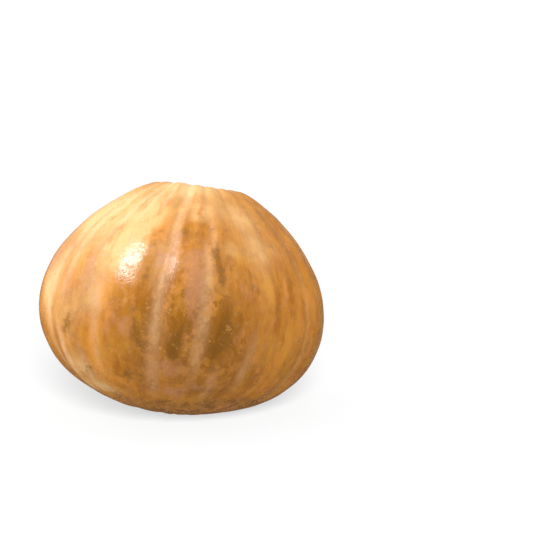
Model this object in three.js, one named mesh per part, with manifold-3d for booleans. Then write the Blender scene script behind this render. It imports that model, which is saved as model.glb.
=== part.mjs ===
// A whole ribbed winter pumpkin, as picked: one solid fruit and the short corky stub of its stem.
// The fruit is a squat globe, taller above its widest ring than below it, with eighteen uneven
// lobes that run from a hollow at the stem end to a small scar at the blossom end. It lies leaning
// to one side and backwards, on a small flat spot worn where it lay in the field.
// Millimetres, +Z up. The origin is the middle of the bounding box, on the surface it rests on.

import * as THREE from "three";
import { mergeVertices } from "three/addons/utils/BufferGeometryUtils.js";
import Module from "manifold-3d";

// The outline: distances from the fruit's middle to its surface, 45 degrees apart, from the stem
// end down to the blossom end, before the two end hollows are pressed in.
const STEM_END = 125;
const SHOULDER = 119.5;
const EQUATOR = 137.5;
const HAUNCH = 122.5;
const BLOSSOM_END = 108;

// A grown fruit is bigger on one side, a little oval seen from its stem, and swollen in places.
const LOPSIDED = { share: 0.07, bearing: -84 };
const OVAL = { share: 0.053, bearing: 46 };
const BULGES = [
  { rise: 4.7, bearing: -5, down: 118 },
  { rise: 5.5, bearing: -5, down: 48 },
  { rise: 2.6, bearing: 175, down: 50 },
];
const BULGE_SPREAD = 31.5; // degrees, as down and bearing are; down is counted from the stem

// Bearings of the furrows between the lobes, in degrees round the stem, anticlockwise from above.
// The front of the fruit is at -90.
const FURROWS = [-172, -150, -127, -100, -83, -66, -49, -30, -10, 11, 31, 52, 74, 93, 112, 131, 151, 169];
const COMMON_WIDTH = 20; // degrees that a middling lobe takes up round the stem
const LOBE_RISE = 2.4; // how far the crest of such a lobe stands above its furrows
const FURROW_NARROWNESS = 4; // an even number; 2 is as broad as the crest, more is narrower
const END_FADE = 0.9; // how quickly the lobes die away at the two ends
const SHOULDER_SWELL = { share: 0.2, angle: 34, spread: 17 }; // lobes stand higher near the stem
const UNDERSIDE_FADE = 0.45; // share of the rise that is lost towards the blossom end

// The hollows at the two ends, as depth, radius and how steep their walls are.
const STEM_HOLLOW = { depth: 29, radius: 30, steepness: 3 };
const BLOSSOM_HOLLOW = { depth: 7, radius: 13, steepness: 2 };
const BLOSSOM_SCAR = { depth: -2.5, radius: 5, steepness: 4 }; // it stands up from its hollow

// How it lies: leaning right (+X) and back (+Y), with the floor this far below its middle.
const LEAN_RIGHT = 8.1;
const LEAN_BACK = 9;
const FLOOR_DROP = 104.7;

// The stem stub: a corky five-angled post, flared where it grips the fruit, cut off level.
const STEM_HEIGHT = 12;
const STEM_RADIUS = 17;
const STEM_FLARE = { reach: 10, height: 6 };
const STEM_ANGLES = { count: 5, share: 0.045, turn: 20 }; // turn is in degrees, to the first one
const STEM_EDGE = 1.5; // rounding of the rim of the cut
const STEM_CUT_DISH = 1.2; // how far the dried middle of the cut has sunk
const STEM_CUT_SLOPE = 4; // degrees
const STEM_ROOT = 6; // how far the stub's body runs down before the hollow's floor trims it
const GROWTH_GAP = 0.35; // clearance kept between the stub and the fruit

// Mesh fineness.
const SEGMENTS_PER_LOBE = 8;
const RINGS = 36;
const RING_CROWDING = 0.07; // rings stand closer towards the two ends
const STEM_SIDES = 60;
const STEM_RING_STEP = 2;
const STEM_ROUNDING_STEPS = 3;
const STEM_DISH_STEPS = 3;
const WELD_DISTANCE = 1e-3;

const radians = THREE.MathUtils.degToRad;

// Distance from the middle to the outline at a polar angle from the stem: the smoothest cosine
// curve through the five distances.
function outlineRadius(polar) {
  const radii = [STEM_END, SHOULDER, EQUATOR, HAUNCH, BLOSSOM_END];
  const last = radii.length - 1;
  let sum = 0;
  for (let k = 0; k <= last; k++) {
    let weight = 0;
    radii.forEach((radius, i) => {
      const endShare = i === 0 || i === last ? 0.5 : 1;
      weight += endShare * radius * Math.cos((Math.PI * k * i) / last);
    });
    const edge = k === 0 || k === last ? 0.5 : 1;
    sum += (2 / last) * edge * weight * Math.cos(k * polar);
  }
  return sum;
}

// A place round the stem, counted in lobes from the first furrow, as its bearing and the rise of
// its lobe there.
function lobeAt(place) {
  const lobe = Math.floor(place) % FURROWS.length;
  const along = place - Math.floor(place);
  const from = FURROWS[lobe];
  const to = lobe + 1 < FURROWS.length ? FURROWS[lobe + 1] : FURROWS[0] + 360;
  const arch = 0.5 - Math.cos(Math.PI * along) ** FURROW_NARROWNESS;
  return {
    bearing: radians(from + along * (to - from)),
    rise: (arch * LOBE_RISE * (to - from)) / COMMON_WIDTH,
  };
}

// How much of a lobe's rise is left at a polar angle.
function lobeShare(polar) {
  const swell = (polar - radians(SHOULDER_SWELL.angle)) / radians(SHOULDER_SWELL.spread);
  const low = Math.max(0, -Math.cos(polar));
  return (
    Math.sin(polar) ** END_FADE *
    (1 + SHOULDER_SWELL.share * Math.exp(-swell * swell)) *
    (1 - UNDERSIDE_FADE * low)
  );
}

// How far the broad bulges lift the skin in a direction from the fruit's middle.
function bulgeRise(polar, bearing) {
  const direction = new THREE.Vector3().setFromSphericalCoords(1, polar, bearing);
  let rise = 0;
  for (const bulge of BULGES) {
    const crest = new THREE.Vector3();
    crest.setFromSphericalCoords(1, radians(bulge.down), radians(bulge.bearing));
    const apart = direction.distanceTo(crest) / radians(BULGE_SPREAD);
    rise += bulge.rise * Math.exp(-apart * apart);
  }
  return rise;
}

function hollowDepth(hollow, out) {
  return hollow.depth * Math.exp(-((out / hollow.radius) ** hollow.steepness));
}

// A point of the fruit's skin in the fruit's own frame, with the stem on +Z.
function skinPoint(polar, place) {
  const { bearing, rise } = lobeAt(place);
  const across = Math.sin(polar);
  const growth =
    1 +
    LOPSIDED.share * across * Math.cos(bearing - radians(LOPSIDED.bearing)) +
    OVAL.share * across ** 2 * Math.cos(2 * (bearing - radians(OVAL.bearing)));
  const swollen = outlineRadius(polar) * growth + bulgeRise(polar, bearing);
  const reach = swollen + rise * lobeShare(polar);
  const out = reach * across;
  let height = reach * Math.cos(polar);
  if (polar < Math.PI / 2) {
    height -= hollowDepth(STEM_HOLLOW, out);
  } else {
    height += hollowDepth(BLOSSOM_HOLLOW, out) + hollowDepth(BLOSSOM_SCAR, out);
  }
  return new THREE.Vector3(out * Math.cos(bearing), out * Math.sin(bearing), height);
}

function fruitGeometry() {
  const around = FURROWS.length * SEGMENTS_PER_LOBE;
  const geometry = new THREE.SphereGeometry(1, around, RINGS);
  const position = geometry.getAttribute("position");
  for (let ring = 0; ring <= RINGS; ring++) {
    const share = ring / RINGS;
    const polar = Math.PI * (share - RING_CROWDING * Math.sin(2 * Math.PI * share));
    for (let step = 0; step <= around; step++) {
      const point = skinPoint(polar, (step % around) / SEGMENTS_PER_LOBE);
      if (ring === 0 || ring === RINGS) point.setX(0).setY(0);
      position.setXYZ(ring * (around + 1) + step, point.x, point.y, point.z);
    }
  }
  return geometry;
}

// Half of the stub's outline, as distances from its axis and heights above the hollow's floor:
// up the flared side, over the rounded rim and in across the dished cut.
function stemProfile() {
  const sideReach = (height) =>
    STEM_RADIUS + STEM_FLARE.reach * Math.exp(-Math.max(0, height) / STEM_FLARE.height);
  const points = [new THREE.Vector2(0, -STEM_ROOT)];
  const sideTop = STEM_HEIGHT - STEM_EDGE;
  for (let height = -STEM_ROOT; height < sideTop; height += STEM_RING_STEP) {
    points.push(new THREE.Vector2(sideReach(height), height));
  }
  const rim = sideReach(sideTop) - STEM_EDGE;
  for (let step = 0; step <= STEM_ROUNDING_STEPS; step++) {
    const turn = (step / STEM_ROUNDING_STEPS) * (Math.PI / 2);
    const reach = rim + STEM_EDGE * Math.cos(turn);
    points.push(new THREE.Vector2(reach, sideTop + STEM_EDGE * Math.sin(turn)));
  }
  for (let step = STEM_DISH_STEPS - 1; step >= 0; step--) {
    const share = step / STEM_DISH_STEPS;
    const sunk = STEM_CUT_DISH * (1 - share ** 2);
    points.push(new THREE.Vector2(share * rim, STEM_HEIGHT - sunk));
  }
  return points;
}

// The stub stands on the floor of the stem hollow. Its round body is pushed out into five angles
// that spread at the foot, and its cut is tipped a little.
function stemGeometry() {
  const foot = STEM_END - STEM_HOLLOW.depth;
  const geometry = new THREE.LatheGeometry(stemProfile(), STEM_SIDES);
  geometry.rotateX(Math.PI / 2);
  const position = geometry.getAttribute("position");
  const slope = Math.tan(radians(STEM_CUT_SLOPE));
  for (let i = 0; i < position.count; i++) {
    const x = position.getX(i);
    const y = position.getY(i);
    const z = position.getZ(i);
    const bearing = Math.atan2(y, x) - radians(STEM_ANGLES.turn);
    const upShare = THREE.MathUtils.clamp(z / STEM_HEIGHT, 0, 1);
    const spread = 1 + STEM_ANGLES.share * (2 - upShare) * Math.cos(STEM_ANGLES.count * bearing);
    position.setXYZ(i, x * spread, y * spread, foot + z + x * slope * upShare);
  }
  return geometry;
}

const wasm = await Module();
wasm.setup();

function toSolid(geometry) {
  const bare = geometry.clone();
  bare.deleteAttribute("normal");
  bare.deleteAttribute("uv");
  const merged = mergeVertices(bare, WELD_DISTANCE);
  return new wasm.Manifold(
    new wasm.Mesh({
      numProp: 3,
      vertProperties: merged.getAttribute("position").array,
      triVerts: new Uint32Array(merged.index.array),
    }),
  );
}

function toGeometry(solid) {
  const { vertProperties, triVerts } = solid.getMesh();
  const geometry = new THREE.BufferGeometry();
  geometry.setAttribute("position", new THREE.BufferAttribute(vertProperties, 3));
  geometry.setIndex(new THREE.BufferAttribute(triVerts, 1));
  geometry.computeVertexNormals();
  return geometry;
}

// The lean: first back about X, then right about Y.
const lean = new THREE.Matrix4()
  .makeRotationY(radians(LEAN_RIGHT))
  .multiply(new THREE.Matrix4().makeRotationX(-radians(LEAN_BACK)));

// Everything below the floor is worn off, which leaves the flat spot that the fruit rests on.
function floorBlock() {
  const size = 4 * EQUATOR;
  const block = new THREE.BoxGeometry(size, size, size);
  block.translate(0, 0, -FLOOR_DROP - size / 2);
  return block.applyMatrix4(lean.clone().invert());
}

const skinMaterial = new THREE.MeshStandardMaterial({ color: 0xcf8f4c, roughness: 0.42, metalness: 0 });
const corkMaterial = new THREE.MeshStandardMaterial({ color: 0xa38c63, roughness: 0.88, metalness: 0 });

const wholeFruit = toSolid(fruitGeometry());
const raisedFruit = wholeFruit.translate([0, 0, GROWTH_GAP]);

const fruit = new THREE.Mesh(toGeometry(wholeFruit.subtract(toSolid(floorBlock()))), skinMaterial);
fruit.name = "fruit";

const stem = new THREE.Mesh(toGeometry(toSolid(stemGeometry()).subtract(raisedFruit)), corkMaterial);
stem.name = "stem";

const pumpkin = new THREE.Group();
const leaning = new THREE.Group();
leaning.add(fruit, stem);
leaning.applyMatrix4(lean);
pumpkin.add(leaning);

// The origin goes to the middle of the box round both pieces, at the height of the flat spot.
const bounds = new THREE.Box3().setFromObject(leaning, true);
const middle = bounds.getCenter(new THREE.Vector3());
leaning.position.set(-middle.x, -middle.y, FLOOR_DROP);

export default pumpkin;
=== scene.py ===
# Looks of a whole ribbed winter pumpkin: tan waxy skin with pale streaks in its furrows, and a dry
# corky stub of stem in the hollow on top. Metres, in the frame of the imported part.

import math

import bpy
import numpy as np
from mathutils import Matrix, Vector, noise


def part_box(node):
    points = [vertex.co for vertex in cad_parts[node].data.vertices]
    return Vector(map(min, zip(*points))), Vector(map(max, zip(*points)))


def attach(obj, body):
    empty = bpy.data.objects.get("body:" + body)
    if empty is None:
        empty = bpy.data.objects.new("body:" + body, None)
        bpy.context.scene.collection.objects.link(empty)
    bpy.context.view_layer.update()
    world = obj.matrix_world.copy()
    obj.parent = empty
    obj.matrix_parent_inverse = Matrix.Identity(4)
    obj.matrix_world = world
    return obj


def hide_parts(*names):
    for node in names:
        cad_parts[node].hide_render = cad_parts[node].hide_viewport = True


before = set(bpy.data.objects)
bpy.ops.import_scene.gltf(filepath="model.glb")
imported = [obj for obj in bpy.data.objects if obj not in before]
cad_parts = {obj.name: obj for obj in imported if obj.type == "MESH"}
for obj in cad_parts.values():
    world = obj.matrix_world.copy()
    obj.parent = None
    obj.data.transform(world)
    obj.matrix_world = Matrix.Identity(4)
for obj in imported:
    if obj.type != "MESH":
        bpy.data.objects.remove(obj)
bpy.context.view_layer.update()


# Fruit
# The whole pumpkin: a thick rind over firm flesh, grown in one piece. It swells into lobes between
# furrows that run from the stem hollow to the blossom scar, and lies on a flat spot under it.

# Distances from its middle to its outline, 45 degrees apart, from the stem end to the blossom end.
OUTLINE = [0.125, 0.1195, 0.1375, 0.1225, 0.108]
LOPSIDED = {"share": 0.07, "bearing": -84}
OVAL = {"share": 0.053, "bearing": 46}
BULGES = [
    {"rise": 0.0047, "bearing": -5, "down": 118},
    {"rise": 0.0055, "bearing": -5, "down": 48},
    {"rise": 0.0026, "bearing": 175, "down": 50},
]
BULGE_SPREAD = 31.5
FURROWS = [-172, -150, -127, -100, -83, -66, -49, -30, -10, 11, 31, 52, 74, 93, 112, 131, 151, 169]
COMMON_WIDTH = 20
LOBE_RISE = 0.0024
FURROW_NARROWNESS = 4
END_FADE = 0.9
SHOULDER_SWELL = {"share": 0.2, "angle": 34, "spread": 17}
UNDERSIDE_FADE = 0.45
STEM_HOLLOW = {"depth": 0.029, "radius": 0.030, "steepness": 3}
BLOSSOM_HOLLOW = {"depth": 0.007, "radius": 0.013, "steepness": 2}
BLOSSOM_SCAR = {"depth": -0.0025, "radius": 0.005, "steepness": 4}
LEAN_RIGHT = 8.1
LEAN_BACK = 9
FLOOR_DROP = 0.1047

# Fineness of the skin's mesh, and its relief finer than the lobes.
SEGMENTS_PER_LOBE = 24
RINGS = 200
RING_CROWDING = 0.07
DENTS = {"depth": 0.0006, "size": 0.05, "seed": 3.7}
RIPPLES = {"depth": 0.0004, "size": 0.018, "seed": 11.3}


def hollow_depth(hollow, out):
    """How far a hollow presses the skin in, at a distance from the fruit's axis."""
    return hollow["depth"] * np.exp(-((out / hollow["radius"]) ** hollow["steepness"]))


def direction_of(polar, bearing):
    """Directions from the fruit's middle."""
    across = np.sin(polar)
    return np.stack([across * np.cos(bearing), across * np.sin(bearing), np.cos(polar)], -1)


def bulge_rise(polar, bearing):
    """How far the broad bulges lift the skin."""
    rise = 0
    for bulge in BULGES:
        crest = direction_of(np.radians(bulge["down"]), np.radians(bulge["bearing"]))
        apart = np.linalg.norm(direction_of(polar, bearing) - crest, axis=-1)
        rise = rise + bulge["rise"] * np.exp(-((apart / math.radians(BULGE_SPREAD)) ** 2))
    return rise


def outline_reach(polar):
    """The smoothest cosine curve through the outline's distances."""
    last = len(OUTLINE) - 1
    ends = [0.5 if i in (0, last) else 1.0 for i in range(last + 1)]
    reach = 0
    for k in range(last + 1):
        weight = sum(ends[i] * OUTLINE[i] * math.cos(math.pi * k * i / last) for i in range(last + 1))
        reach = reach + (2 / last) * ends[k] * weight * np.cos(k * polar)
    return reach


def lobe_place(place):
    """Bearing in degrees and rise of the lobe, at a place counted in lobes from the first furrow."""
    starts = np.array(FURROWS, float)
    widths = np.diff(np.append(starts, starts[0] + 360))
    lobe = np.floor(place).astype(int) % len(FURROWS)
    along = place - np.floor(place)
    arch = 0.5 - np.cos(np.pi * along) ** FURROW_NARROWNESS
    return starts[lobe] + along * widths[lobe], arch * LOBE_RISE * widths[lobe] / COMMON_WIDTH


def skin_points(polar, place):
    """Points of the skin in the fruit's own frame, with the stem on +Z, and their bearings."""
    degrees, rise = lobe_place(place)
    bearing = np.radians(degrees)
    across = np.sin(polar)
    growth = 1 + LOPSIDED["share"] * across * np.cos(bearing - math.radians(LOPSIDED["bearing"]))
    growth += OVAL["share"] * across**2 * np.cos(2 * (bearing - math.radians(OVAL["bearing"])))
    swell = (np.degrees(polar) - SHOULDER_SWELL["angle"]) / SHOULDER_SWELL["spread"]
    share = across**END_FADE * (1 + SHOULDER_SWELL["share"] * np.exp(-(swell**2)))
    share *= 1 - UNDERSIDE_FADE * np.maximum(0, -np.cos(polar))
    reach = outline_reach(polar) * growth + bulge_rise(polar, bearing) + rise * share
    out = reach * across
    height = reach * np.cos(polar)
    upper = height - hollow_depth(STEM_HOLLOW, out)
    lower = height + hollow_depth(BLOSSOM_HOLLOW, out) + hollow_depth(BLOSSOM_SCAR, out)
    height = np.where(polar < math.pi / 2, upper, lower)
    points = np.stack([out * np.cos(bearing), out * np.sin(bearing), height], -1)
    return points, degrees


lean_right = Matrix.Rotation(math.radians(LEAN_RIGHT), 3, "Y")
lean_back = Matrix.Rotation(-math.radians(LEAN_BACK), 3, "X")
LEAN = np.array(lean_right @ lean_back)

ring_share = np.arange(1, RINGS) / RINGS
ring_polar = math.pi * (ring_share - RING_CROWDING * np.sin(2 * math.pi * ring_share))
places = np.arange(len(FURROWS) * SEGMENTS_PER_LOBE) / SEGMENTS_PER_LOBE
polar_grid, place_grid = np.meshgrid(ring_polar, places, indexing="ij")
skin, bearing_grid = skin_points(polar_grid, place_grid)
skin = skin @ LEAN.T

# The skin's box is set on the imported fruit's box, so that the skin lies where the solid lies.
low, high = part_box("fruit")
middle_x, middle_y = [(skin[..., axis].min() + skin[..., axis].max()) / 2 for axis in (0, 1)]
fruit_middle = np.array([(low.x + high.x) / 2 - middle_x, (low.y + high.y) / 2 - middle_y, FLOOR_DROP])


def normals_of(points):
    """Outward directions of a grid of points that closes on itself round the stem."""
    around = np.roll(points, -1, 1) - np.roll(points, 1, 1)
    down = np.gradient(points, axis=0)
    outward = np.cross(down, around)
    return outward / np.linalg.norm(outward, axis=-1, keepdims=True)


def noise_at(points, size, seed):
    """Smooth noise from about -1 to 1 with features of a size, at each point of a grid."""
    flat = points.reshape(-1, 3) / size + seed
    return np.array([noise.noise(Vector(p)) for p in flat]).reshape(points.shape[:-1])


def relief_at(points, relief):
    """How far a kind of small relief lifts the surface at each point of a grid."""
    return relief["depth"] * noise_at(points, relief["size"], relief["seed"])


lift = relief_at(skin, DENTS) + relief_at(skin, RIPPLES)
skin = skin + normals_of(skin) * lift[..., None] + fruit_middle
skin[..., 2] = np.maximum(skin[..., 2], 0)

# Pale wax streaks: where each runs (bearing and the part of the way down, in degrees), how wide it
# is in millimetres, and how pale.
STREAKS = [
    {"bearing": -98, "from": 12, "to": 42, "width": 9.0, "pale": 0.65},
    {"bearing": -99.5, "from": 38, "to": 80, "width": 6.0, "pale": 0.52},
    {"bearing": -100.5, "from": 74, "to": 128, "width": 8.0, "pale": 0.52},
    {"bearing": -103.5, "from": 62, "to": 84, "width": 5.0, "pale": 0.45},
    {"bearing": -81, "from": 44, "to": 64, "width": 4.5, "pale": 0.5},
    {"bearing": -84, "from": 60, "to": 116, "width": 7.5, "pale": 0.5},
    {"bearing": -63, "from": 94, "to": 122, "width": 6.5, "pale": 0.42},
    {"bearing": -57, "from": 40, "to": 90, "width": 16.0, "pale": 0.15},
    {"bearing": -75, "from": 110, "to": 130, "width": 7.0, "pale": 0.42},
    {"bearing": -38, "from": 30, "to": 78, "width": 16.0, "pale": 0.12},
    {"bearing": -105, "from": 10, "to": 34, "width": 3.5, "pale": 0.6},
    {"bearing": -112, "from": 12, "to": 44, "width": 3.5, "pale": 0.7},
    {"bearing": -120, "from": 14, "to": 52, "width": 4.0, "pale": 0.7},
    {"bearing": -129, "from": 16, "to": 64, "width": 4.0, "pale": 0.65},
    {"bearing": -123, "from": 84, "to": 120, "width": 6.0, "pale": 0.45},
    {"bearing": -131, "from": 106, "to": 130, "width": 6.0, "pale": 0.5},
    {"bearing": -139, "from": 20, "to": 92, "width": 5.5, "pale": 0.55},
    {"bearing": -141, "from": 98, "to": 122, "width": 6.0, "pale": 0.7},
    {"bearing": -149, "from": 20, "to": 122, "width": 7.0, "pale": 0.5},
]
STREAK_TAPER = {"growth": 1.25, "least": 0.35}
STREAK_ENDS = {"start": 3, "stop": 4}

# On the sides away from the viewer every furrow has a streak. They are faint at the right and the
# far left, and vary at the back.
FRONT = (-160, -40)
RIGHT_END = 15
FAR_STREAK = {"from": 18, "to": 125, "width": 5.5}
FAINT = 0.3
BACK_PALE = {"least": 0.35, "more": 0.3}
for furrow in FURROWS:
    if FRONT[0] < furrow < FRONT[1]:
        continue
    varied = BACK_PALE["least"] + BACK_PALE["more"] * math.sin(2 * furrow) ** 2
    pale = FAINT if furrow < RIGHT_END else varied
    STREAKS.append({"bearing": furrow, "pale": pale, **FAR_STREAK})

# Other markings, each by the bearing and the way down of its middle in degrees, its half width and
# half height in millimetres, and its strength. One below zero keeps the marks off a place.
MARKINGS = {
    "mottled": [
        (-79.5, 69, 5, 22, 1.5), (-77, 98, 7, 26, 1.9), (-71, 104, 6, 22, 0.4), (-69, 124, 9, 14, 0.7),
        (-66, 72, 4, 22, 0.5), (-58, 116, 5, 18, 0.4), (-95, 56, 6, 9, 1.2), (-92, 98, 5, 30, 0.9),
        (-106, 62, 4, 14, 0.45), (-107, 79, 6, 12, 0.6), (-107, 100, 7, 22, 0.7), (-111, 116, 7, 12, 0.8),
        (-92, 104, 8, 12, 0.8), (-99, 122, 10, 12, 0.6), (-80, 124, 14, 10, 0.8), (-136, 100, 9, 16, 0.7),
        (-131, 116, 5, 14, 0.5), (-44, 108, 5, 14, 0.5), (-30, 96, 5, 22, 0.4), (15, 84, 10, 30, 0.7),
        (48, 96, 8, 28, 0.9), (98, 74, 9, 26, 0.7), (126, 100, 10, 22, 0.9), (172, 82, 9, 30, 0.8),
        (-136, 46, 44, 40, -0.9), (-104, 28, 34, 22, -0.8), (-64, 42, 26, 18, -0.4),
    ],
    # Dusky marks: in part a darker tone of the skin, in part painted shade that darkens the middle and the
    # lowest band near the paper.
    "dusky_and_shaded": [
        (-88, 92, 48, 38, 1.1), (-100, 112, 36, 26, 0.4), (-66, 112, 36, 28, 0.4), (-20, 96, 30, 44, 0.3),
        (-60, 134, 50, 10, 1.1), (-86, 136, 40, 9, 0.8), (-42, 132, 40, 12, 0.8), (-92, 146, 50, 10, 0.9),
        (-78, 122, 16, 14, 0.6), (40, 100, 50, 34, 0.6), (110, 96, 50, 36, 0.6), (168, 100, 40, 34, 0.6),
    ],
    "rosy": [
        (-89, 80, 9, 34, 1.3), (-103, 72, 5, 9, 1.2), (-112, 97, 9, 9, 1.2), (-94, 112, 11, 14, 0.9),
        (-80, 120, 9, 12, 0.7), (-90, 124, 16, 9, 1.0), (-130, 81, 9, 12, 0.9), (-155, 78, 12, 16, 0.8),
        (-112, 40, 8, 8, 0.5), (4, 70, 10, 26, 0.8), (62, 84, 9, 30, 0.9), (120, 72, 10, 26, 0.9),
    ],
    "orange": [
        (-107, 54, 8, 26, 1.0), (-120, 88, 8, 14, 0.9), (-124, 108, 7, 24, 1.0), (-115, 120, 12, 5, 1.0),
        (-93, 84, 4, 22, 0.9), (-47, 108, 12, 22, 0.7), (-52, 122, 12, 9, 0.6), (-32, 86, 30, 44, 0.6),
        (22, 100, 16, 38, 0.8), (84, 104, 14, 34, 0.8), (141, 96, 16, 34, 0.8),
    ],
    # Creamy marks: in part a paler tone of the skin, in part painted sheen that lightens the upper side, with
    # a painted pale haze beside the highlight.
    "creamy_and_sheen": [
        (-145, 52, 48, 46, 1.15), (-114, 56, 20, 36, 0.95), (-96, 24, 40, 26, 0.9), (-150, 90, 18, 28, 1.0),
        (-127, 88, 15, 26, 0.5), (-136, 118, 18, 14, 0.85), (-62, 42, 30, 24, 0.6), (-88, 42, 14, 14, 0.5),
        (-58, 62, 14, 30, 0.3), (60, 50, 46, 38, 0.7), (150, 54, 38, 38, 0.7),
        (-130, 128, 24, 9, 0.9), (-90, 48, 9, 8, 0.5), (-118, 66, 20, 12, 0.4), (-121, 74, 8, 12, 0.7),
        (-136, 100, 12, 24, 0.5), (-52, 60, 34, 22, 0.35), (-73, 63, 11, 12, 0.35), (-124, 70, 14, 14, 0.55),
    ],
}
EQUATOR_MM = OUTLINE[2] * 1000


def across_mm(degrees, bearing, polar):
    """Distance over the skin from a bearing, in millimetres."""
    turn = (degrees - bearing + 180) % 360 - 180
    return np.radians(turn) * EQUATOR_MM * np.sin(polar)


def streak_strength(degrees, polar):
    """How pale the wax streaks make the skin, from 0 to 1."""
    down = np.degrees(polar)
    strength = np.zeros_like(polar)
    for streak in STREAKS:
        width = streak["width"] * np.clip(np.sin(polar) * STREAK_TAPER["growth"], STREAK_TAPER["least"], 1)
        core = np.exp(-((across_mm(degrees, streak["bearing"], polar) / width) ** 2))
        start = 1 / (1 + np.exp(-(down - streak["from"]) / STREAK_ENDS["start"]))
        stop = 1 / (1 + np.exp((down - streak["to"]) / STREAK_ENDS["stop"]))
        strength = np.maximum(strength, streak["pale"] * core * start * stop)
    return strength


def marking_strength(markings, degrees, polar):
    """How strong a list of markings is, where they add up."""
    strength = np.zeros_like(polar)
    for bearing, down, width, height, share in markings:
        side = across_mm(degrees, bearing, polar) / width
        rise = np.radians(np.degrees(polar) - down) * EQUATOR_MM / height
        strength = strength + share * np.exp(-(side**2) - rise**2)
    return strength


# Where each point of the skin lies on the growing fruit: round the stem, and down from it.
grown_x = np.cos(np.radians(bearing_grid))
grown_y = np.sin(np.radians(bearing_grid))
grown_place = np.stack([grown_x, grown_y, polar_grid], -1)

# Streaks and markings wander a few degrees to either side, so that no edge is ruled.
WIDE_WANDER = {"depth": 0.9, "size": 0.9, "seed": 5.1}
FINE_WANDER = {"depth": 0.9, "size": 0.18, "seed": 8.4}
MARKING_WANDER = 2
wander = relief_at(grown_place, WIDE_WANDER) + relief_at(grown_place, FINE_WANDER)
kept_numbers = {"streak": streak_strength(bearing_grid + wander, polar_grid)}
for name, markings in MARKINGS.items():
    kept_numbers[name] = marking_strength(markings, bearing_grid + MARKING_WANDER * wander, polar_grid)
kept_numbers.update({"grown_x": grown_x, "grown_y": grown_y, "grown_z": polar_grid})


def grid_mesh(name, grid, top, bottom):
    """A closed mesh over a grid of points that closes on itself, with a point at each end."""
    rings, columns = grid.shape[:2]
    corners = np.vstack([grid.reshape(-1, 3), top, bottom])
    top_end = rings * columns
    bottom_end = top_end + 1
    faces = []
    for ring in range(rings - 1):
        here = ring * columns
        below = here + columns
        for column in range(columns):
            beside = (column + 1) % columns
            faces.append((here + column, below + column, below + beside, here + beside))
    last = (rings - 1) * columns
    for column in range(columns):
        beside = (column + 1) % columns
        faces.append((top_end, column, beside))
        faces.append((bottom_end, last + beside, last + column))
    mesh = bpy.data.meshes.new(name)
    mesh.from_pydata(corners.tolist(), [], faces)
    mesh.validate()
    mesh.shade_smooth()
    return mesh


def keep_on_mesh(mesh, name, values):
    """Stores one number per corner point of the mesh, for the material to read."""
    attribute = mesh.attributes.new(name, "FLOAT", "POINT")
    flat = np.append(values.reshape(-1), [values[0].mean(), values[-1].mean()])
    attribute.data.foreach_set("value", flat.astype(np.float32))


fruit_mesh = grid_mesh("fruit_skin", skin, skin[0].mean(0), skin[-1].mean(0))
for name, values in kept_numbers.items():
    keep_on_mesh(fruit_mesh, name, values)
fruit = bpy.data.objects.new("fruit_skin", fruit_mesh)
bpy.context.scene.collection.objects.link(fruit)


def paint(red, green, blue):
    """A colour given as it looks on a screen, 0 to 255, turned into light."""
    parts = [value / 255 for value in (red, green, blue)]
    return [p / 12.92 if p <= 0.04045 else ((p + 0.055) / 1.055) ** 2.4 for p in parts] + [1.0]


class Finish:
    """A material's nodes, added one after another."""

    def __init__(self, name):
        self.material = bpy.data.materials.new(name)
        self.material.use_nodes = True
        self.tree = self.material.node_tree
        self.shader = self.tree.nodes["Principled BSDF"]

    def node(self, kind, inputs=(), **settings):
        """Adds a node, with what goes into its sockets."""
        made = self.tree.nodes.new("ShaderNode" + kind)
        for setting, value in settings.items():
            setattr(made, setting, value)
        for socket, value in dict(inputs).items():
            self.feed(made.inputs[socket], value)
        return made

    def feed(self, socket, value):
        """Gives a socket a fixed value, or what another node makes."""
        if isinstance(value, bpy.types.NodeSocket):
            self.tree.links.new(value, socket)
        else:
            socket.default_value = value

    def number(self, name):
        """A number kept on the mesh."""
        return self.node("Attribute", attribute_name=name).outputs["Fac"]

    def maths(self, operation, first, second):
        """One step of arithmetic."""
        return self.node("Math", {0: first, 1: second}, operation=operation).outputs[0]

    def weigh(self, first, first_share, second, second_share):
        """Two textures added up, each with its share."""
        part = self.maths("MULTIPLY", first, first_share)
        return self.maths("ADD", part, self.maths("MULTIPLY", second, second_share))

    def stretch(self, where, down):
        """A place for textures to follow. The less it counts downwards, the longer they run that way."""
        return self.node("Mapping", {"Vector": where, "Scale": (1, 1, down)}).outputs[0]

    def speckle(self, where, scale, detail=3.0, roughness=0.55, distortion=0.0):
        """Smooth noise round 0.5."""
        sizes = {"Vector": where, "Scale": scale, "Detail": detail}
        sizes.update({"Roughness": roughness, "Distortion": distortion})
        return self.node("TexNoise", sizes).outputs["Fac"]

    def step(self, value, start, full, at_start=0.0, at_full=1.0):
        """Goes softly from one number to another while a value goes from start to full."""
        ends = {"Value": value, "From Min": start, "From Max": full}
        ends.update({"To Min": at_start, "To Max": at_full})
        return self.node("MapRange", ends, interpolation_type="SMOOTHSTEP").outputs["Result"]

    def blend(self, share, under, over):
        """Lays a share of one colour over another. Sockets 6, 7 and 2 are the node's colour ones."""
        made = self.node("Mix", {0: share}, data_type="RGBA")
        self.feed(made.inputs[6], under)
        self.feed(made.inputs[7], over)
        return made.outputs[2]

    def lay(self, under, over, texture, start, full, share=1.0):
        """Lays a share of one colour over another as a texture goes from start to full."""
        return self.blend(self.step(texture, start, full, at_full=share), under, over)


TAN = paint(184, 117, 31)
PALE_TAN = paint(204, 141, 51)
OCHRE = paint(164, 99, 21)
ORANGE = paint(208, 134, 44)
# CREAM_AND_SHEEN is a paler skin tone, and also the colour of the painted sheen.
CREAM_AND_SHEEN = paint(215, 173, 114)
WAX = paint(228, 182, 134)
BROWN = paint(140, 86, 15)
OLIVE = paint(112, 76, 8)
# DUSK_AND_SHADE is a darker skin tone, and also the colour of the painted shade.
DUSK_AND_SHADE = paint(137, 86, 23)
PINK = paint(184, 126, 84)

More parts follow.
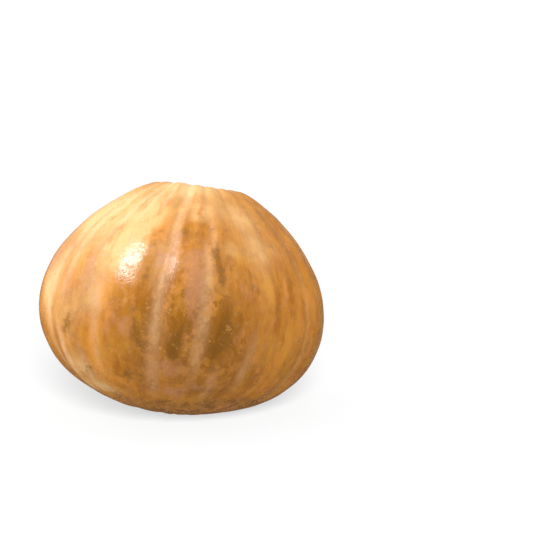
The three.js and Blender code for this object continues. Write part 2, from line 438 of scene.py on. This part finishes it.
skin_finish = Finish("waxy_skin")
skin_place = skin_finish.node("TexCoord").outputs["Object"]
grown_parts = {i: skin_finish.number("grown_" + axis) for i, axis in enumerate("xyz")}
grown = skin_finish.node("CombineXYZ", grown_parts).outputs[0]
lengthwise = skin_finish.stretch(grown, down=0.22)
brushed = skin_finish.stretch(grown, down=0.5)

bands = skin_finish.speckle(lengthwise, 9.0, roughness=0.6)
narrow_bands = skin_finish.speckle(lengthwise, 13.0, detail=1.0)
clouds = skin_finish.speckle(skin_place, 30.0, detail=4.0, distortion=0.2)
blotches = skin_finish.speckle(skin_place, 80.0, detail=5.0, roughness=0.64)
fine = skin_finish.speckle(skin_place, 260.0, detail=4.0, roughness=0.62)
finest = skin_finish.speckle(skin_place, 420.0, roughness=0.7)
smears = skin_finish.speckle(brushed, 12.0, detail=4.5, roughness=0.62, distortion=0.1)
speckles = skin_finish.weigh(blotches, 0.55, fine, 0.45)
jagged = skin_finish.weigh(smears, 0.4, speckles, 0.6)


def tinted(colour, marking, over, share):
    """Lets a colour come up softly where a marking is strong."""
    clouded = skin_finish.maths("ADD", clouds, 0.5)
    strength = skin_finish.maths("MULTIPLY", skin_finish.number(marking), clouded)
    return skin_finish.lay(colour, over, strength, start=0.0, full=1.0, share=share)


def marked(colour, marking, over, texture, reach, start, full, share):
    """Lays a colour over the skin where a marking is strong, broken up by a texture."""
    strength = skin_finish.maths("MULTIPLY", skin_finish.number(marking), reach)
    cover = skin_finish.maths("ADD", texture, strength)
    return skin_finish.lay(colour, over, cover, start, full, share)


# The ground of the skin: tan, with ochre and pale bands from stem to blossom, clouds and smears.
colour = skin_finish.lay(TAN, OCHRE, bands, start=0.38, full=0.6)
colour = skin_finish.lay(colour, PALE_TAN, clouds, start=0.45, full=0.65, share=0.5)
colour = skin_finish.lay(colour, DUSK_AND_SHADE, narrow_bands, start=0.5, full=0.64, share=0.22)
colour = skin_finish.lay(colour, PALE_TAN, narrow_bands, start=0.48, full=0.34, share=0.22)
colour = skin_finish.lay(colour, BROWN, smears, start=0.48, full=0.7, share=0.3)
colour = skin_finish.lay(colour, PALE_TAN, smears, start=0.52, full=0.32, share=0.3)
# Painted shade over the middle and the lowest band, in part a darker tone of the skin.
colour = tinted(colour, "dusky_and_shaded", DUSK_AND_SHADE, share=0.75)

# Dabs of slightly different tone, each a few millimetres across, most of all where the skin is dusky with
# painted shade.
shift = skin_finish.node("TexNoise", {"Vector": skin_place, "Scale": 120.0, "Detail": 3.0}).outputs["Color"]
shift = skin_finish.node("VectorMath", {0: shift, "Scale": 0.016}, operation="SCALE").outputs[0]
shifted = skin_finish.node("VectorMath", {0: skin_place, 1: shift}, operation="ADD").outputs[0]
dab_sizes = {"Vector": skin_finish.stretch(shifted, down=0.55), "Scale": 150.0, "Smoothness": 0.3}
dab_colour = skin_finish.node("TexVoronoi", dab_sizes, feature="SMOOTH_F1").outputs["Color"]
dab = skin_finish.node("SeparateColor", {0: dab_colour}).outputs[0]
busy = skin_finish.step(skin_finish.number("dusky_and_shaded"), start=0.1, full=0.9, at_start=0.35)
dark_dabs = skin_finish.maths("MULTIPLY", skin_finish.step(dab, start=0.5, full=0.9, at_full=0.5), busy)
pale_dabs = skin_finish.maths("MULTIPLY", skin_finish.step(dab, start=0.5, full=0.1, at_full=0.4), busy)
colour = skin_finish.blend(dark_dabs, colour, BROWN)
colour = skin_finish.blend(pale_dabs, colour, PALE_TAN)

# The markings, and over them the wax streaks, worn thin in places.
# Painted sheen over the upper side and beside the highlight, in part a paler tone of the skin.
colour = tinted(colour, "creamy_and_sheen", CREAM_AND_SHEEN, share=0.85)
colour = marked(colour, "rosy", PINK, smears, reach=0.22, start=0.5, full=0.74, share=0.75)
colour = marked(colour, "orange", ORANGE, smears, reach=0.2, start=0.5, full=0.76, share=0.7)
colour = marked(colour, "mottled", BROWN, jagged, reach=0.19, start=0.52, full=0.7, share=0.75)
colour = marked(colour, "mottled", OLIVE, jagged, reach=0.14, start=0.57, full=0.69, share=0.5)
worn = skin_finish.step(jagged, start=0.4, full=0.62, at_start=1.0, at_full=0.5)
streaks = skin_finish.maths("MULTIPLY", skin_finish.number("streak"), worn)
colour = skin_finish.lay(colour, WAX, streaks, start=0.05, full=1.0, share=0.9)

# Pale flecks and dark freckles, about a millimetre across.
fleck_patches = skin_finish.step(blotches, start=0.45, full=0.58)
flecks = skin_finish.maths("MULTIPLY", skin_finish.step(fine, start=0.57, full=0.64), fleck_patches)
fleck_share = skin_finish.maths("MULTIPLY", busy, 0.75)
colour = skin_finish.blend(skin_finish.maths("MULTIPLY", flecks, fleck_share), colour, PALE_TAN)
colour = skin_finish.lay(colour, OLIVE, finest, start=0.63, full=0.72, share=0.35)
skin_finish.feed(skin_finish.shader.inputs["Base Color"], colour)

# Waxy gloss, duller on the streaks and on small specks, over a faintly grainy skin.
gloss = skin_finish.step(blotches, start=0.35, full=0.65, at_start=0.13, at_full=0.26)
matt_streaks = skin_finish.maths("MULTIPLY", skin_finish.number("streak"), 0.4)
matt_specks = skin_finish.step(fine, start=0.54, full=0.66, at_full=0.3)
matt = skin_finish.maths("ADD", matt_streaks, matt_specks)
skin_finish.feed(skin_finish.shader.inputs["Roughness"], skin_finish.maths("ADD", gloss, matt))
skin_finish.shader.inputs["Specular IOR Level"].default_value = 0.5
grain = skin_finish.weigh(blotches, 0.6, fine, 0.4)
bump = skin_finish.node("Bump", {"Height": grain, "Strength": 0.5, "Distance": 0.0014})
skin_finish.feed(skin_finish.shader.inputs["Normal"], bump.outputs[0])
fruit_mesh.materials.append(skin_finish.material)

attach(fruit, "root")
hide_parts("fruit")


# Stem
# The stub that is left when the fruit is cut from its vine: dry cork, five-angled, flared where it
# grips the fruit, with a dished and cracked cut. It has grown onto the floor of the hollow.

STEM_HEIGHT = 0.012
STEM_RADIUS = 0.017
STEM_FLARE = {"reach": 0.010, "height": 0.006}
STEM_ANGLES = {"count": 5, "share": 0.045, "turn": 20}
STEM_EDGE = 0.0015
STEM_CUT_DISH = 0.0012
STEM_CUT_SLOPE = 4
STEM_ROOT = 0.006
STEM_SIDES = 240
STEM_SIDE_RINGS = 60
STEM_EDGE_RINGS = 8
STEM_CUT_RINGS = 36
STEM_FIBRES = {"depth": 0.0009, "size": 0.11, "seed": 6.6}
FIBRE_CHANGE = {"up_the_side": 0.3, "on_the_cut": 0.5}
STEM_ROUGHNESS = {"depth": 0.0004, "size": 0.004, "seed": 2.2}
ROUGHNESS_SHARES = np.array([0.5, 0.5, 1])


def stem_reach(height):
    """Half the stub's thickness at a height above the hollow's floor."""
    return STEM_RADIUS + STEM_FLARE["reach"] * np.exp(-np.maximum(0, height) / STEM_FLARE["height"])


side_top = STEM_HEIGHT - STEM_EDGE
side_heights = np.linspace(-STEM_ROOT, side_top, STEM_SIDE_RINGS)
rim = stem_reach(side_top) - STEM_EDGE
edge_turn = np.linspace(0, math.pi / 2, STEM_EDGE_RINGS)[1:]
cut_share = np.linspace(1, 0, STEM_CUT_RINGS)[1:-1]
cut_heights = STEM_HEIGHT - STEM_CUT_DISH * (1 - cut_share**2)
edge_share = np.linspace(0, 1, len(edge_turn))

# The stub's profile, up its side, over its rounded edge and in over the cut.
profile_out = np.concatenate([stem_reach(side_heights), rim + STEM_EDGE * np.cos(edge_turn), cut_share * rim])
profile_up = np.concatenate([side_heights, side_top + STEM_EDGE * np.sin(edge_turn), cut_heights])
profile_cut = np.concatenate([np.zeros(len(side_heights)), edge_share, np.ones(len(cut_share))])

side_angles = np.arange(STEM_SIDES) / STEM_SIDES * 2 * math.pi
out_grid, side_grid = np.meshgrid(profile_out, side_angles, indexing="ij")
up_grid = np.repeat(profile_up[:, None], STEM_SIDES, 1)
cut_grid = np.repeat(profile_cut[:, None], STEM_SIDES, 1)
up_share = np.clip(up_grid / STEM_HEIGHT, 0, 1)
angle = STEM_ANGLES["count"] * (side_grid - math.radians(STEM_ANGLES["turn"]))
spread = 1 + STEM_ANGLES["share"] * (2 - up_share) * np.cos(angle)
round_x = np.cos(side_grid)
round_y = np.sin(side_grid)
fibre_change = FIBRE_CHANGE["up_the_side"] * up_share + FIBRE_CHANGE["on_the_cut"] * cut_grid
fibres = relief_at(np.stack([round_x, round_y, fibre_change], -1), STEM_FIBRES)
out_share = out_grid / STEM_RADIUS
out_grid = out_grid * spread + fibres * (1 - cut_grid)
slope = math.tan(math.radians(STEM_CUT_SLOPE))
stem_foot = OUTLINE[0] - STEM_HOLLOW["depth"]
stem_x = out_grid * round_x
stem_y = out_grid * round_y
stem_z = stem_foot + up_grid + stem_x * slope * up_share + fibres * cut_grid * out_share
stub = np.stack([stem_x, stem_y, stem_z], -1)
stub = stub + relief_at(stub, STEM_ROUGHNESS)[..., None] * ROUGHNESS_SHARES
stub = stub @ LEAN.T + fruit_middle

stem_mesh = grid_mesh("stem_stub", stub[::-1], stub[-1].mean(0), stub[0].mean(0))
for name, values in {"cut": cut_grid, "round_x": round_x, "round_y": round_y, "out": out_share}.items():
    keep_on_mesh(stem_mesh, name, values[::-1])
stem = bpy.data.objects.new("stem_stub", stem_mesh)
bpy.context.scene.collection.objects.link(stem)

CORK_SIDE = paint(140, 108, 62)
CORK_CUT = paint(184, 152, 98)
CORK_PITH = paint(142, 108, 62)
CORK_CRACK = paint(78, 54, 28)

cork = Finish("dry_cork")
cork_clouds = cork.speckle(cork.node("TexCoord").outputs["Object"], 150.0, detail=5.0)
out_along = cork.maths("MULTIPLY", cork.number("out"), 0.35)
pith_parts = {0: cork.number("round_x"), 1: cork.number("round_y"), 2: out_along}
from_pith = cork.node("CombineXYZ", pith_parts).outputs[0]
cracks = cork.speckle(from_pith, 9.0, detail=4.0, roughness=0.6)
cork_colour = cork.blend(cork.number("cut"), CORK_SIDE, CORK_CUT)
near_pith = cork.step(cork.number("out"), start=0.42, full=0.25, at_full=0.8)
pith = cork.maths("MULTIPLY", cork.number("cut"), near_pith)
cork_colour = cork.blend(pith, cork_colour, CORK_PITH)
cork_colour = cork.lay(cork_colour, CORK_SIDE, cork_clouds, start=0.4, full=0.7, share=0.55)
cork_colour = cork.lay(cork_colour, CORK_CRACK, cracks, start=0.54, full=0.66, share=0.8)
cork.feed(cork.shader.inputs["Base Color"], cork_colour)
cork.shader.inputs["Roughness"].default_value = 0.85
cork_relief = cork.maths("SUBTRACT", cork_clouds, cracks)
cork_bump = cork.node("Bump", {"Height": cork_relief, "Strength": 0.8, "Distance": 0.001})
cork.feed(cork.shader.inputs["Normal"], cork_bump.outputs[0])
stem_mesh.materials.append(cork.material)

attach(stem, "root")
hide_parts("stem")


# Floor
# A table top covered with a sheet of plain white paper, on which the pumpkin lies. The paper glows a
# little for the lens, as it does in a picture that is exposed for a white ground.

FLOOR_SIZE = 80
FLOOR_CLEARANCE = 0.0004
PAPER_DARKER = paint(63, 63, 63)
PAPER_LIGHTER = paint(65, 65, 65)
PAPER_GLOW = 0.65
PAPER_ON_SKIN = paint(104, 104, 104)
PAPER_IN_GLOSS = paint(34, 34, 34)

half = FLOOR_SIZE / 2
floor_corners = [(x * half, y * half, -FLOOR_CLEARANCE) for x, y in ((-1, -1), (1, -1), (1, 1), (-1, 1))]
floor_mesh = bpy.data.meshes.new("table_top")
floor_mesh.from_pydata(floor_corners, [], [(0, 1, 2, 3)])
floor = bpy.data.objects.new("table_top", floor_mesh)
bpy.context.scene.collection.objects.link(floor)

paper = Finish("white_paper")
paper_grain = paper.speckle(paper.node("TexCoord").outputs["Object"], 40.0)
paper_seen = paper.blend(paper_grain, PAPER_DARKER, PAPER_LIGHTER)
ray = paper.node("LightPath")
to_lens = ray.outputs["Is Camera Ray"]
paper_colour = paper.blend(to_lens, PAPER_ON_SKIN, paper_seen)
paper_colour = paper.blend(ray.outputs["Is Glossy Ray"], paper_colour, PAPER_IN_GLOSS)
paper.feed(paper.shader.inputs["Base Color"], paper_colour)
paper.feed(paper.shader.inputs["Emission Strength"], paper.maths("MULTIPLY", to_lens, PAPER_GLOW))
paper.shader.inputs["Emission Color"].default_value = (1, 1, 1, 1)
paper.shader.inputs["Roughness"].default_value = 0.9
paper.shader.inputs["Specular IOR Level"].default_value = 0.0
floor_mesh.materials.append(paper.material)


# Light
# A white room with soft light from the left, from above and a little from the right. A window is high
# at the front left, a pale wall behind shows only in the gloss, and a wide lamp before the table
# lights only the paper on it.

SHADED_ROOM = 0.05
ROOM_IN_GLOSS = 0.15
ROOM_SEEN = 1.1
FAR_WALL = {"bearing": -165, "elevation": 8, "tightness": 2.5, "power": 0.45}
GLOWS = [
    {"bearing": -95, "elevation": 18, "tightness": 3, "power": 4.3},
    {"bearing": 0, "elevation": 90, "tightness": 2, "power": 2.4},
    {"bearing": 80, "elevation": 20, "tightness": 3, "power": 1.35},
]


def way_to(bearing, elevation):
    """A direction from the pumpkin. Bearing 0 is the viewer's side, and + is to the right."""
    turn = math.radians(bearing)
    rise = math.radians(elevation)
    return Vector((math.sin(turn) * math.cos(rise), -math.cos(turn) * math.cos(rise), math.sin(rise)))


world = bpy.data.worlds.new("room")
world.use_nodes = True
room = world.node_tree
looking = room.nodes.new("ShaderNodeTexCoord").outputs["Generated"]


def room_maths(operation, first, second):
    """One step of arithmetic on the room's brightness."""
    made = room.nodes.new("ShaderNodeMath")
    made.operation = operation
    for socket, value in zip(made.inputs, (first, second)):
        if isinstance(value, bpy.types.NodeSocket):
            room.links.new(value, socket)
        else:
            socket.default_value = value
    return made.outputs[0]


def glow_strength(glow):
    """How bright a soft glow is in the direction looked at."""
    towards = room.nodes.new("ShaderNodeVectorMath")
    towards.operation = "DOT_PRODUCT"
    towards.inputs[1].default_value = way_to(glow["bearing"], glow["elevation"])
    room.links.new(looking, towards.inputs[0])
    facing = room_maths("MAXIMUM", towards.outputs["Value"], 0)
    return room_maths("MULTIPLY", room_maths("POWER", facing, glow["tightness"]), glow["power"])


brightness = SHADED_ROOM
for glow in GLOWS:
    brightness = room_maths("ADD", glow_strength(glow), brightness)
room_ray = room.nodes.new("ShaderNodeLightPath")
in_gloss = room_ray.outputs["Is Glossy Ray"]
dimmed = room_maths("SUBTRACT", 1, room_maths("MULTIPLY", in_gloss, 1 - ROOM_IN_GLOSS))
brightness = room_maths("MULTIPLY", brightness, dimmed)
wall_in_gloss = room_maths("MULTIPLY", in_gloss, glow_strength(FAR_WALL))
brightness = room_maths("ADD", brightness, wall_in_gloss)
room_seen = room_maths("MULTIPLY", room_ray.outputs["Is Camera Ray"], ROOM_SEEN)
brightness = room_maths("MAXIMUM", brightness, room_seen)
room.links.new(brightness, room.nodes["Background"].inputs["Strength"])
room.nodes["Background"].inputs["Color"].default_value = (1, 1, 1, 1)
bpy.context.scene.world = world
bpy.context.scene.view_settings.view_transform = "Standard"

# The window shows as the bright spot in the wax. The glows stand for the light that it spreads.
WINDOW = {"bearing": -57, "elevation": 60.5, "distance": 2.0, "width": 0.46, "height": 0.9, "power": 37}
window_light = bpy.data.lights.new("window", "AREA")
window_light.shape = "RECTANGLE"
window_light.size = WINDOW["width"]
window_light.size_y = WINDOW["height"]
window_light.energy = WINDOW["power"]
window = bpy.data.objects.new("window", window_light)
towards_window = way_to(WINDOW["bearing"], WINDOW["elevation"])
window.location = Vector(fruit_middle) + WINDOW["distance"] * towards_window
window.rotation_euler = towards_window.to_track_quat("Z", "Y").to_euler()
window.visible_diffuse = False
bpy.context.scene.collection.objects.link(window)

# The lamp casts the fruit's soft shadow on the paper, and its light reaches nothing else.
TABLE_LAMP = {"bearing": 2, "elevation": 27, "width_angle": 22, "power": 37}
table_light = bpy.data.lights.new("table_lamp", "SUN")
table_light.angle = math.radians(TABLE_LAMP["width_angle"])
table_light.energy = TABLE_LAMP["power"]
table_lamp = bpy.data.objects.new("table_lamp", table_light)
towards_lamp = way_to(TABLE_LAMP["bearing"], TABLE_LAMP["elevation"])
table_lamp.rotation_euler = towards_lamp.to_track_quat("Z", "Y").to_euler()
bpy.context.scene.collection.objects.link(table_lamp)
lit_by_lamp = bpy.data.collections.new("paper_only")
lit_by_lamp.objects.link(floor)
table_lamp.light_linking.receiver_collection = lit_by_lamp


# Camera
# A long lens a little above the pumpkin and 1.5 metres before it, at the photograph's angle. It is
# turned to the right, so that the pumpkin lies in the left half of the picture.

PICTURE = 560
FOCAL_PIXELS = 1500
SENSOR = 36
CAMERA_ELEVATION = 12
CAMERA_DISTANCE = 1.5
CAMERA_TURN = 3.863
CAMERA_TILT = -11.30
CAMERA_NUDGE = Vector((-0.0020, 0, 0.0038))
drop = math.radians(CAMERA_ELEVATION)
lens = bpy.data.cameras.new("camera")
lens.sensor_width = SENSOR
lens.lens = FOCAL_PIXELS / PICTURE * SENSOR
camera = bpy.data.objects.new("camera", lens)
towards_camera = Vector((0, -math.cos(drop), math.sin(drop)))
camera.location = Vector(fruit_middle) + CAMERA_NUDGE + CAMERA_DISTANCE * towards_camera
camera.rotation_euler = (math.radians(90 + CAMERA_TILT), 0, -math.radians(CAMERA_TURN))
bpy.context.scene.collection.objects.link(camera)
bpy.context.scene.camera = camera
